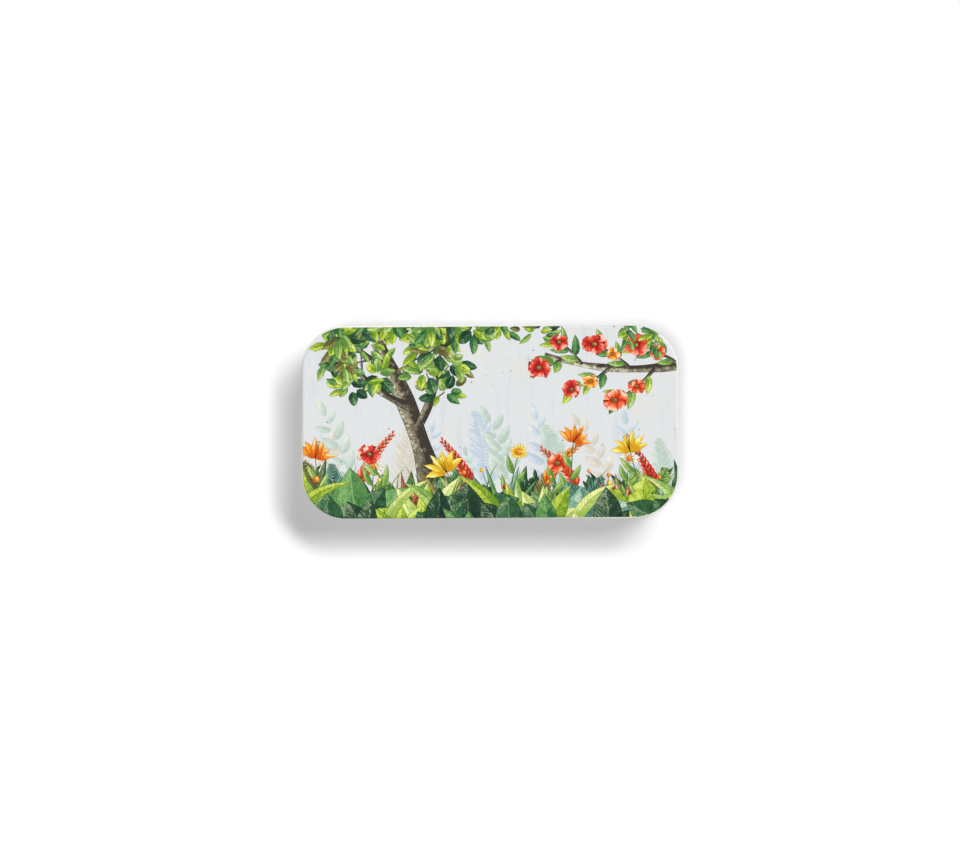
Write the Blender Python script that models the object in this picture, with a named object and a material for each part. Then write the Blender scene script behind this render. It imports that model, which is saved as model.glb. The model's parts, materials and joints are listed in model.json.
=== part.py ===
"""Needle tin: a drawn tinplate base and lid, joined by two pinned hinges that are tucked in at the back,
with a flexible magnetic sheet on the floor that holds the needles.

Metres, +Z up. The tin stands on the XY plane, centred on the origin, with its length along X, its
front at -Y and its hinges at +Y.
"""

import math

import bmesh
import bpy
from mathutils import Vector

MM = 0.001

# Overall sizes, taken over the lid, which is the widest piece
LID_LENGTH = 94.0 * MM
LID_WIDTH = 48.3 * MM
TIN_HEIGHT = 16.0 * MM
LID_CORNER_RADIUS = 11.1 * MM

# Sheet metal of both shells
SHEET = 0.35 * MM

# Lid
LID_SKIRT_DEPTH = 5.5 * MM
LID_EDGE_ROLL = 0.75 * MM
HEM_THICKNESS = 0.65 * MM
HEM_HEIGHT = 1.2 * MM
HEM_LEAD_IN = 0.15 * MM

# Base
LID_RUNNING_GAP = 0.55 * MM
LID_SEAT_GAP = 0.3 * MM
RIM_CURL_RADIUS = 0.5 * MM
FOOT_RADIUS = 1.6 * MM
FLOOR_BEAD_INSET = 4.0 * MM
FLOOR_BEAD_WIDTH = 2.2 * MM
FLOOR_BEAD_DEPTH = 0.4 * MM

# Hinges
HINGE_SPACING = 52.0 * MM
PIN_RADIUS = 0.45 * MM
PIN_CLEARANCE = 0.12 * MM
KNUCKLE_WALL = 0.35 * MM
LID_KNUCKLE_WIDTH = 3.4 * MM
BASE_KNUCKLE_WIDTH = 2.6 * MM
KNUCKLE_SIDE_GAP = 0.3 * MM
HINGE_GAP = 0.3 * MM
PIN_END_MARGIN = 0.1 * MM
POCKET_SIDE_GAP = 0.4 * MM
POCKET_FLARE = 0.6 * MM
CURL_SWEEP = math.radians(285)

# Magnetic sheet
MAGNET_THICKNESS = 0.8 * MM
MAGNET_TAPE = 0.3 * MM
MAGNET_BORDER = 0.5 * MM

# How finely round shapes are cut
CORNER_STEPS = 10
ROLL_STEPS = 4
CURL_STEPS = 9
BEAD_STEPS = 4
KNUCKLE_STEPS = 16
PIN_STEPS = 20
SHARP_ANGLE = math.radians(32)

# Finishes: name, colour, roughness, metallic
PRINTED_LACQUER = ("pale printed lacquer", (0.76, 0.79, 0.78), 0.38, 0.0)
TINPLATE = ("bare tinplate", (0.68, 0.69, 0.70), 0.32, 1.0)
STEEL_WIRE = ("steel wire", (0.60, 0.60, 0.61), 0.25, 1.0)
MAGNETIC_RUBBER = ("magnetic rubber", (0.05, 0.045, 0.04), 0.75, 0.0)

# Worked out from the sizes above
LID_HALF = (LID_LENGTH / 2, LID_WIDTH / 2)
BASE_INSET = HEM_THICKNESS + LID_RUNNING_GAP
BASE_HALF = (LID_HALF[0] - BASE_INSET, LID_HALF[1] - BASE_INSET)
BASE_CORNER_RADIUS = LID_CORNER_RADIUS - BASE_INSET
HEM_BOTTOM = TIN_HEIGHT - LID_SKIRT_DEPTH
RIM_TOP = TIN_HEIGHT - SHEET - LID_SEAT_GAP
BORE_RADIUS = PIN_RADIUS + PIN_CLEARANCE
KNUCKLE_RADIUS = BORE_RADIUS + KNUCKLE_WALL
AXIS_Y = LID_HALF[1] - KNUCKLE_RADIUS
AXIS_Z = HEM_BOTTOM - HINGE_GAP - KNUCKLE_RADIUS
HINGE_HALF_WIDTH = LID_KNUCKLE_WIDTH / 2 + KNUCKLE_SIDE_GAP + BASE_KNUCKLE_WIDTH
POCKET_FLOOR_Y = AXIS_Y - KNUCKLE_RADIUS - HINGE_GAP
MAGNET_INSET = FLOOR_BEAD_INSET + FLOOR_BEAD_WIDTH + MAGNET_BORDER


def clear_scene():
    """Removes whatever the scene already holds."""
    for obj in list(bpy.data.objects):
        bpy.data.objects.remove(obj, do_unlink=True)


def material(name, colour, roughness, metallic):
    made = bpy.data.materials.new(name)
    made.use_nodes = True
    shader = made.node_tree.nodes["Principled BSDF"]
    shader.inputs["Base Color"].default_value = (*colour, 1)
    shader.inputs["Roughness"].default_value = roughness
    shader.inputs["Metallic"].default_value = metallic
    return made


def add_object(name, bm, finish, origin=Vector()):
    """Turns a closed bmesh in world coordinates into an object whose origin is at the given point."""
    bmesh.ops.recalc_face_normals(bm, faces=bm.faces)
    bmesh.ops.translate(bm, verts=bm.verts, vec=-origin)
    mesh = bpy.data.meshes.new(name)
    bm.to_mesh(mesh)
    bm.free()
    mesh.shade_smooth()
    mesh.set_sharp_from_angle(angle=SHARP_ANGLE)
    mesh.materials.append(finish)
    obj = bpy.data.objects.new(name, mesh)
    obj.location = origin
    bpy.context.scene.collection.objects.link(obj)
    return obj


def add_helper(name, bm, target, operation):
    """Adds a hidden solid and a Boolean that joins it to the target or cuts it out."""
    helper = add_object(name, bm, target.data.materials[0])
    helper.hide_render = True
    helper.display_type = "WIRE"
    boolean = target.modifiers.new(name, "BOOLEAN")
    boolean.operation = operation
    boolean.object = helper


def arc(centre, radius, start, sweep, steps):
    """Points on an arc in a flat section, as (across, up) pairs."""
    turns = [start + sweep * step / steps for step in range(steps + 1)]
    return [(centre[0] + radius * math.cos(t), centre[1] + radius * math.sin(t)) for t in turns]


def rounded_ring(bm, half, corner_radius, inset, height):
    """One level ring of vertices: a rounded rectangle, drawn in by the inset."""
    radius = corner_radius - inset
    ring = []
    for quarter, (side_x, side_y) in enumerate(((1, 1), (-1, 1), (-1, -1), (1, -1))):
        centre = Vector((side_x * (half[0] - corner_radius), side_y * (half[1] - corner_radius), height))
        for step in range(CORNER_STEPS + 1):
            turn = (quarter + step / CORNER_STEPS) * math.pi / 2
            ring.append(bm.verts.new(centre + Vector((math.cos(turn), math.sin(turn), 0)) * radius))
    return ring


def swept_shell(half, corner_radius, section):
    """Carries a section of (inset, height) points once round a rounded rectangle.

    The first and last rings are closed by flat faces, so a section that runs down outside and up
    inside makes an open shell of sheet metal.
    """
    bm = bmesh.new()
    rings = [rounded_ring(bm, half, corner_radius, inset, height) for inset, height in section]
    for upper, lower in zip(rings, rings[1:]):
        for here in range(len(upper)):
            after = (here + 1) % len(upper)
            bm.faces.new((upper[here], upper[after], lower[after], lower[here]))
    bm.faces.new(rings[0])
    bm.faces.new(reversed(rings[-1]))
    return bm


def extruded_section(section, low_x, high_x):
    """A solid with the same (y, z) section from low_x to high_x."""
    bm = bmesh.new()
    face = bm.faces.new([bm.verts.new((low_x, y, z)) for y, z in section])
    run = bmesh.ops.extrude_face_region(bm, geom=[face])
    moved = [item for item in run["geom"] if isinstance(item, bmesh.types.BMVert)]
    bmesh.ops.translate(bm, verts=moved, vec=(high_x - low_x, 0, 0))
    return bm


def tapered_block(centre_x, centre_z, inner, outer):
    """A block along Y between two rectangles, each given as (y, half width, half height)."""
    bm = bmesh.new()
    loops = []
    for y, half_x, half_z in (inner, outer):
        signs = ((-1, -1), (1, -1), (1, 1), (-1, 1))
        places = [(centre_x + sx * half_x, y, centre_z + sz * half_z) for sx, sz in signs]
        loops.append([bm.verts.new(place) for place in places])
    for here in range(4):
        after = (here + 1) % 4
        bm.faces.new((loops[0][here], loops[0][after], loops[1][after], loops[1][here]))
    bm.faces.new(reversed(loops[0]))
    bm.faces.new(loops[1])
    return bm


def lid_section():
    """Flat panel, tight edge roll, skirt, and a hem that is folded in and up."""
    hem_radius = HEM_THICKNESS / 2
    inner_roll = LID_EDGE_ROLL - SHEET
    roll_centre = (LID_EDGE_ROLL, TIN_HEIGHT - LID_EDGE_ROLL)
    hem_centre = (hem_radius, HEM_BOTTOM + hem_radius)
    quarter = math.pi / 2
    outside = arc(roll_centre, LID_EDGE_ROLL, quarter, quarter, ROLL_STEPS)
    hem = arc(hem_centre, hem_radius, math.pi, math.pi, ROLL_STEPS)
    hem_top = HEM_BOTTOM + HEM_HEIGHT
    step = [(HEM_THICKNESS, hem_top - HEM_LEAD_IN), (SHEET, hem_top)]
    inside = arc(roll_centre, inner_roll, math.pi, -quarter, ROLL_STEPS)
    return outside + hem + step + inside


def base_section():
    """Flat foot with a stiffening bead, rounded lower edge, wall, and a rim that is curled in."""
    quarter = math.pi / 2
    bead_end = FLOOR_BEAD_INSET + FLOOR_BEAD_WIDTH
    bead = []
    for step in range(BEAD_STEPS + 1):
        share = step / BEAD_STEPS
        rise = FLOOR_BEAD_DEPTH * math.sin(math.pi * share)
        bead.append((bead_end - FLOOR_BEAD_WIDTH * share, rise))
    foot = arc((FOOT_RADIUS, FOOT_RADIUS), FOOT_RADIUS, -quarter, -quarter, ROLL_STEPS)
    curl_centre = (RIM_CURL_RADIUS, RIM_TOP - RIM_CURL_RADIUS)
    curl_end = -math.acos((SHEET - RIM_CURL_RADIUS) / RIM_CURL_RADIUS)
    curl = arc(curl_centre, RIM_CURL_RADIUS, math.pi, curl_end - math.pi, CURL_STEPS)
    inner_foot = arc((FOOT_RADIUS, FOOT_RADIUS), FOOT_RADIUS - SHEET, math.pi, quarter, ROLL_STEPS)
    inner_bead = [(inset, rise + SHEET) for inset, rise in reversed(bead)]
    return bead + foot + curl + inner_foot + inner_bead


def curled_knuckle(start, strip_end, low_x, high_x):
    """A knuckle bent from sheet: a strip that runs into a curl round the hinge's axis.

    The curl begins at the angle start, and the strip reaches strip_end beyond that tangent point.
    The lid's strip comes down and curls inwards, and the base's comes out and curls upwards.
    """
    way = 1 if start < 0 else -1
    sweep = way * CURL_SWEEP
    back = Vector((way * math.sin(start), -way * math.cos(start))) * strip_end
    outer = arc((AXIS_Y, AXIS_Z), KNUCKLE_RADIUS, start, sweep, KNUCKLE_STEPS)
    inner = arc((AXIS_Y, AXIS_Z), BORE_RADIUS, start + sweep, -sweep, KNUCKLE_STEPS)
    strip = [tuple(Vector(inner[-1]) + back), tuple(Vector(outer[0]) + back)]
    return extruded_section(outer + inner + strip, low_x, high_x)


def hinge_centres():
    return (("left", -HINGE_SPACING / 2), ("right", HINGE_SPACING / 2))


def build_lid(finish):
    lid = add_object("lid_shell", swept_shell(LID_HALF, LID_CORNER_RADIUS, lid_section()), finish)
    strip = HINGE_GAP + KNUCKLE_RADIUS + HEM_THICKNESS
    for side, x in hinge_centres():
        half = LID_KNUCKLE_WIDTH / 2
        add_helper(f"lid_knuckle_{side}", curled_knuckle(0, strip, x - half, x + half), lid, "UNION")


def build_base(finish):
    section = base_section()
    base = add_object("base_shell", swept_shell(BASE_HALF, BASE_CORNER_RADIUS, section), finish)
    pocket_x = HINGE_HALF_WIDTH + POCKET_SIDE_GAP
    pocket_z = KNUCKLE_RADIUS + HINGE_GAP
    wall_y = BASE_HALF[1]
    for side, x in hinge_centres():
        # The dented wall: a block inside the wall, then the pocket cut into it from outside
        back = (POCKET_FLOOR_Y - SHEET, pocket_x + SHEET, pocket_z + SHEET)
        front_grow = SHEET + POCKET_FLARE
        front = (wall_y - SHEET / 2, pocket_x + front_grow, pocket_z + front_grow)
        add_helper(f"dent_{side}", tapered_block(x, AXIS_Z, back, front), base, "UNION")
        floor = (POCKET_FLOOR_Y, pocket_x, pocket_z)
        depth = wall_y - POCKET_FLOOR_Y
        reach = POCKET_FLARE * (depth + SHEET) / depth
        mouth = (wall_y + SHEET, pocket_x + reach, pocket_z + reach)
        add_helper(f"pocket_{side}", tapered_block(x, AXIS_Z, floor, mouth), base, "DIFFERENCE")
        strip = AXIS_Y - POCKET_FLOOR_Y + SHEET / 2
        start = LID_KNUCKLE_WIDTH / 2 + KNUCKLE_SIDE_GAP
        for place, hand in (("a", -1), ("b", 1)):
            ends = sorted((x + hand * start, x + hand * (start + BASE_KNUCKLE_WIDTH)))
            curl = curled_knuckle(-math.pi / 2, strip, *ends)
            add_helper(f"base_knuckle_{side}_{place}", curl, base, "UNION")


def build_pins(finish):
    half = HINGE_HALF_WIDTH - PIN_END_MARGIN
    round_section = arc((AXIS_Y, AXIS_Z), PIN_RADIUS, 0, math.tau, PIN_STEPS)[:-1]
    for side, x in hinge_centres():
        pin = extruded_section(round_section, x - half, x + half)
        add_object(f"hinge_pin_{side}", pin, finish, Vector((x, AXIS_Y, AXIS_Z)))


def build_magnet(finish):
    bottom = SHEET + MAGNET_TAPE
    section = [(MAGNET_INSET, bottom), (MAGNET_INSET, bottom + MAGNET_THICKNESS)]
    add_object("magnetic_sheet", swept_shell(BASE_HALF, BASE_CORNER_RADIUS, section), finish)


def main():
    clear_scene()
    build_lid(material(*PRINTED_LACQUER))
    build_base(material(*TINPLATE))
    build_pins(material(*STEEL_WIRE))
    build_magnet(material(*MAGNETIC_RUBBER))


main()
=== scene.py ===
"""Looks of the needle tin: printed lid, bare tinplate base, hinges and magnetic sheet, on a pale floor.

Metres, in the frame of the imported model: the tin stands on the XY plane with its front at -Y and its
hinges at +Y. The print is drawn flat, in millimetres, on the lid's unrolled outside, and then wrapped
over the edge roll and down the skirt as a printed sheet is when the lid is drawn.
"""

import json
import math
import random

import bmesh
import bpy
import numpy as np
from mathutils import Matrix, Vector
from mathutils.geometry import delaunay_2d_cdt


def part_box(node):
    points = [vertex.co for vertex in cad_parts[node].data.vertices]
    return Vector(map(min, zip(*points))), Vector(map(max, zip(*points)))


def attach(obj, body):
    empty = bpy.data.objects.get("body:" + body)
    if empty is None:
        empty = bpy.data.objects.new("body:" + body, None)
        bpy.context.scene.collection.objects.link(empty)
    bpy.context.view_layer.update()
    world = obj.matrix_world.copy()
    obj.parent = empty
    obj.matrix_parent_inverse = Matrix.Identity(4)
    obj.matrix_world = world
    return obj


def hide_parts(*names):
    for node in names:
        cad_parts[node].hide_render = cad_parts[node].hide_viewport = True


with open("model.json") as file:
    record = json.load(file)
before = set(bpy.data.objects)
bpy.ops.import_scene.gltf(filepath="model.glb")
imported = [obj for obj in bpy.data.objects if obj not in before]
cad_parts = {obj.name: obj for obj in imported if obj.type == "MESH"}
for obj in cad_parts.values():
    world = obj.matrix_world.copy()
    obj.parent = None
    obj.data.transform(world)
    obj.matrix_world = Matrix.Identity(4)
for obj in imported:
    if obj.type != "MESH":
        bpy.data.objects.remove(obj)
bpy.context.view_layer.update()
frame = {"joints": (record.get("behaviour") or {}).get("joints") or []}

MM = 0.001

# Sizes of the shells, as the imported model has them
LID_HALF_LENGTH, LID_HALF_WIDTH, TIN_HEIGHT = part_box("lid_shell")[1]
LID_CORNER_RADIUS = 11.1 * MM
SHEET = 0.35 * MM
EDGE_ROLL = 0.75 * MM
SKIRT_DEPTH = 5.5 * MM
HEM_BOTTOM = TIN_HEIGHT - SKIRT_DEPTH
HEM_THICKNESS = 0.65 * MM
HEM_RADIUS = HEM_THICKNESS / 2
HEM_HEIGHT = 1.2 * MM
HEM_EDGE_RADIUS = 0.14 * MM
HEM_EDGE_RISE = 0.02 * MM
BASE_INSET = 1.2 * MM
BASE_HALF = (LID_HALF_LENGTH - BASE_INSET, LID_HALF_WIDTH - BASE_INSET)
BASE_CORNER_RADIUS = LID_CORNER_RADIUS - BASE_INSET
RIM_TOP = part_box("base_shell")[1].z
RIM_CURL = 0.5 * MM
FOOT_RADIUS = 1.6 * MM
BEAD_INSET = 4.0 * MM
BEAD_WIDTH = 2.2 * MM
BEAD_DEPTH = 0.4 * MM
MAGNET_EDGE = 0.1 * MM
# How far inside its edge a flat face is closed
FLAT_MARGIN = 1.0 * MM
# From the end of a long run to the point that keeps its shading flat
SUPPORT = 0.06 * MM

# Hinges
AXIS = Vector(frame["joints"][0]["pos_m"])
HINGE_SPACING = 52.0 * MM
PIN_RADIUS = 0.45 * MM
PIN_EDGE = 0.12 * MM
BORE_RADIUS = 0.57 * MM
KNUCKLE_RADIUS = BORE_RADIUS + SHEET
LID_KNUCKLE_WIDTH = 3.4 * MM
BASE_KNUCKLE_WIDTH = 2.6 * MM
KNUCKLE_SIDE_GAP = 0.3 * MM
HINGE_GAP = 0.3 * MM
POCKET_SIDE_GAP = 0.4 * MM
POCKET_FLOOR_Y = AXIS.y - KNUCKLE_RADIUS - HINGE_GAP
POCKET_HALF_WIDTH = LID_KNUCKLE_WIDTH / 2 + KNUCKLE_SIDE_GAP + BASE_KNUCKLE_WIDTH + POCKET_SIDE_GAP
POCKET_HALF_HEIGHT = KNUCKLE_RADIUS + HINGE_GAP
POCKET_FLARE = 0.6 * MM
CURL_SWEEP = math.radians(285)

# How finely round shapes are cut
CORNER_STEPS = 28
ROLL_STEPS = 8
BEAD_STEPS = 10
RIM_STEPS = 14
POCKET_STEPS = 6
SMALL_EDGE_STEPS = 3
HEM_EDGE_STEPS = 4
PIN_STEPS = 32
CURL_POINTS = 49
SHARP_ANGLE = math.radians(40)
# An outward direction whose Y is more than this belongs to the straight back wall
FACES_BACK = 0.999

# The unrolled lid: a flat panel, its edge roll laid out flat, and the skirt beyond
PANEL_RADIUS = LID_CORNER_RADIUS - EDGE_ROLL
CORE = (LID_HALF_LENGTH - LID_CORNER_RADIUS, LID_HALF_WIDTH - LID_CORNER_RADIUS)
ROLL_LENGTH = EDGE_ROLL * math.pi / 2
SKIRT_END = ROLL_LENGTH + TIN_HEIGHT - EDGE_ROLL - HEM_BOTTOM - HEM_RADIUS
# The width that the lid's UV map spans, in metres
SHEET_SPAN = 0.112

# The strip of the UV map that holds the lid's inside, in shares of the map
STRIP_MARGIN_SHARE = 0.02
STRIP_LENGTH_SHARE = 0.9
STRIP_WIDTH_SHARE = 0.14

# Where the top's print stops, past the flat panel, and how far it is out of register with the tin
IMAGE_END = 0.52 * MM
SKIRT_START = 0.98 * MM
PRINT_END_SOFTNESS = 0.05 * MM
PRINT_END_WOBBLE = 0.12 * MM
PRINT_SHIFT = (0.04 * MM, 0.06 * MM)
PRINT_TWIST = -0.009
PRINT_SEED = 11

# Corners of a rounded rectangle, counter-clockwise
CORNER_SIDES = ((1, 1), (-1, 1), (-1, -1), (1, -1))


def arc(centre, radius, start, sweep, steps):
    """Points on an arc in a flat section, as (across, up) pairs."""
    turns = [start + sweep * step / steps for step in range(steps + 1)]
    return [(centre[0] + radius * math.cos(t), centre[1] + radius * math.sin(t)) for t in turns]


def supported(section):
    """The same section with a point close to each end of every long run, which keeps its shading flat."""
    points = [section[0]]
    for before, after in zip(section, section[1:]):
        run = Vector(after) - Vector(before)
        if run.length > 4 * SUPPORT:
            step = run.normalized() * SUPPORT
            points += [tuple(Vector(before) + step), tuple(Vector(after) - step)]
        points.append(after)
    return points


def ring_frame(half, radius, back_places=()):
    """Core point and outward direction of each place round a rounded rectangle, counter-clockwise.

    A point at an inset lies at core + direction * (radius - inset). back_places are more places,
    along X, on the straight back edge.
    """
    core_x, core_y = half[0] - radius, half[1] - radius
    places = []
    for quarter, (side_x, side_y) in enumerate(CORNER_SIDES):
        for step in range(CORNER_STEPS + 1):
            turn = (quarter + step / CORNER_STEPS) * math.pi / 2
            places.append((side_x * core_x, side_y * core_y, math.cos(turn), math.sin(turn)))
        if quarter == 0:
            places += [(x, core_y, 0.0, 1.0) for x in sorted(back_places, reverse=True)]
    return np.array(places)


def sweep(ring, radius, section):
    """Vertices of a section of (inset, height) points carried round a ring, one row for each point."""
    rows = []
    for inset, height in section:
        flat = ring[:, :2] + ring[:, 2:] * (radius - inset)
        rows.append(np.column_stack([flat, np.full(len(ring), height)]))
    return np.concatenate(rows)


def sweep_faces(count, rows, first=0):
    """Quads between the rows of a sweep, then a face that closes the last row."""
    faces = []
    for row in range(rows - 1):
        for here in range(count):
            after = (here + 1) % count
            low = first + row * count
            faces.append((low + here, low + count + here, low + count + after, low + after))
    last = first + (rows - 1) * count
    faces.append(tuple(last + here for here in reversed(range(count))))
    return faces


def new_object(name, mesh, *finishes):
    obj = bpy.data.objects.new(name, mesh)
    bpy.context.scene.collection.objects.link(obj)
    for finish in finishes:
        mesh.materials.append(finish)
    return obj


def outwards(mesh):
    """Turns every face of a closed mesh outwards."""
    bm = bmesh.new()
    bm.from_mesh(mesh)
    bmesh.ops.recalc_face_normals(bm, faces=bm.faces)
    bm.to_mesh(mesh)
    bm.free()


class Nodes:
    """A node tree under construction. What feeds an input is a number, a colour or another node's output."""

    def __init__(self, tree):
        self.tree = tree

    def feed(self, socket, value):
        if isinstance(value, bpy.types.NodeSocket):
            self.tree.links.new(value, socket)
        else:
            socket.default_value = value

    def node(self, kind, inputs=None, **settings):
        node = self.tree.nodes.new(kind)
        for key, value in settings.items():
            setattr(node, key, value)
        for key, value in (inputs or {}).items():
            self.feed(node.inputs[key], value)
        return node

    def math(self, operation, *values, clamp=False):
        inputs = dict(enumerate(values))
        return self.node("ShaderNodeMath", inputs, operation=operation, use_clamp=clamp).outputs[0]

    def vector(self, x, y, z=0.0):
        return self.node("ShaderNodeCombineXYZ", {0: x, 1: y, 2: z}).outputs[0]


class Finish(Nodes):
    """One material. Its methods add nodes and return sockets, so a pattern reads as a sum."""

    def __init__(self, name):
        self.material = bpy.data.materials.new(name)
        self.material.use_nodes = True
        super().__init__(self.material.node_tree)
        self.shader = self.tree.nodes["Principled BSDF"]

    def add(self, kind, inputs=None, **settings):
        return self.node("ShaderNode" + kind, inputs, **settings)

    def sum(self, *values):
        total = values[0]
        for value in values[1:]:
            total = self.math("ADD", total, value)
        return total

    def times(self, *values):
        total = values[0]
        for value in values[1:]:
            total = self.math("MULTIPLY", total, value)
        return total

    def about(self, value, middle, gain):
        """How far a value lies from its middle, times a gain."""
        return self.times(self.math("SUBTRACT", value, middle), gain)

    def band(self, value, low, high, start=0.0, end=1.0):
        """A smooth step from start at low to end at high."""
        inputs = {0: value, 1: low, 2: high, 3: start, 4: end}
        return self.add("MapRange", inputs, interpolation_type="SMOOTHSTEP").outputs[0]

    def mix(self, share, one, other, blend="MIX"):
        node = self.add("Mix", {0: share, 6: one, 7: other}, data_type="RGBA", blend_type=blend)
        return node.outputs[2]

    def attribute(self, name):
        return self.add("Attribute", attribute_name=name)

    def place(self, scale=(1, 1, 1), turn=(0, 0, 0)):
        """Object coordinates, stretched by the scale."""
        coordinates = self.add("TexCoord").outputs["Object"]
        return self.add("Mapping", {0: coordinates, 2: turn, 3: scale}).outputs[0]

    def noise(self, vector, scale, detail=3.0, roughness=0.55, distortion=0.0):
        inputs = {"Vector": vector, "Scale": scale, "Detail": detail, "Roughness": roughness,
                  "Distortion": distortion}
        return self.add("TexNoise", inputs).outputs[0]

    def set(self, **values):
        for key, value in values.items():
            self.feed(self.shader.inputs[key.replace("_", " ").title()], value)
        return self.material

    def bump(self, height, strength, distance):
        inputs = {"Strength": strength, "Distance": distance, "Height": height}
        self.feed(self.shader.inputs["Normal"], self.add("Bump", inputs).outputs[0])


def linear(red, green, blue):
    """A colour from its 0 to 255 values on screen."""
    shares = [value / 255 for value in (red, green, blue)]
    return tuple(s / 12.92 if s <= 0.04045 else ((s + 0.055) / 1.055) ** 2.4 for s in shares)


def paint(red, green, blue):
    """A colour for a shader socket, from its 0 to 255 values on screen."""
    return (*linear(red, green, blue), 1)


def tone(dark, light):
    """The shaded and the lit colour of one ink wash."""
    return linear(*dark), linear(*light)


# Inks of the print
LIME = tone((104, 142, 34), (206, 222, 88))
SPRING = tone((86, 132, 58), (176, 204, 108))
MEADOW = tone((40, 90, 52), (112, 164, 92))
DEEP = tone((22, 50, 36), (58, 106, 66))
POND = tone((44, 92, 84), (132, 176, 152))
OLIVE = tone((84, 84, 44), (160, 158, 92))
BRONZE = tone((112, 50, 40), (196, 120, 84))
BARK = tone((56, 50, 44), (150, 140, 116))
STALK = tone((74, 104, 48), (150, 170, 88))
RED = tone((168, 26, 26), (240, 84, 62))
ORANGE = tone((214, 92, 20), (250, 178, 62))
YELLOW = tone((214, 158, 20), (248, 230, 92))
CREAM = tone((206, 200, 176), (246, 244, 232))
PALE_LIME = tone((150, 178, 76), (232, 238, 158))
SHADE = tone((18, 36, 28), (40, 74, 50))
SCARLET = tone((186, 44, 22), (248, 112, 66))
SOOT = tone((34, 30, 30), (80, 72, 66))
MIST_GREEN = tone((178, 198, 186), (212, 222, 212))
MIST_BLUE = tone((182, 198, 210), (214, 222, 228))
MIST_SAND = tone((206, 200, 184), (226, 222, 212))

# How a wash is worked: the whole part of the code that the shader reads
PLAIN, PALE_VEINED, DARK_VEINED, PETAL, WOOD, FAINT = 1, 2, 3, 4, 5, 6

# Where plants are rooted on the print, in millimetres behind (+) or in front of (-) its middle
TOP_ROOTS = 29
FAR_ROOTS = -18
GRASS_ROOTS = -24
STEM_ROOTS = -26
ARCH_ROOTS = -28
BED_ROOTS = -28.5
LOW_ROOTS = -30.5
SHADE_ROOTS = -31
PRINT_HALF_LENGTH = 47

# Half width of each form, as a share of the widest, at a share u of its length
FORMS = {
    "lance": lambda u: np.sin(np.pi * u**0.72) ** (0.72 + 0.2 * u**3),
    "oval": lambda u: np.sin(np.pi * u**0.85) ** 0.62,
    "broad": lambda u: np.sin(np.pi * u**0.68) ** (0.5 + 0.4 * u**3),
    "lobed": lambda u: (np.sin(np.pi * u**0.7) ** 0.7
                        * (0.55 + 0.45 * np.abs(np.sin(5.5 * np.pi * u**0.9)))),
    "strap": lambda u: np.minimum(1, 0.4 + 2.4 * u) * (1 - u**2.6),
    "grass": lambda u: (1 - u) ** 0.65,
    "stem": lambda u: 1 - 0.55 * u,
    "trunk": lambda u: 1 - 0.75 * u**0.55 + 0.16 * u,
    "petal": lambda u: np.sin(np.pi * (0.06 + 0.94 * u) ** 1.6) ** 0.6,
    "disc": lambda u: np.sqrt(np.clip(1 - (2 * u - 1) ** 2, 0, 1)),
}
POINTS_PER_MM = {"lobed": 4.5, "disc": 5.0}
COMMON_POINTS_PER_MM = 1.6
FEWEST_POINTS, MOST_POINTS = 7, 48
SMALLEST_STEP = 0.01
SMALLEST_HALF_WIDTH = 0.02


def towards(angle, squash=1.0):
    """A unit step at an angle in degrees, flattened by the squash."""
    turn = math.radians(angle)
    return np.array([math.cos(turn), squash * math.sin(turn)])


def place_at(spine, share):
    """The number of the spine's point at a share of its length."""
    return int(share * (len(spine) - 1))


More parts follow.
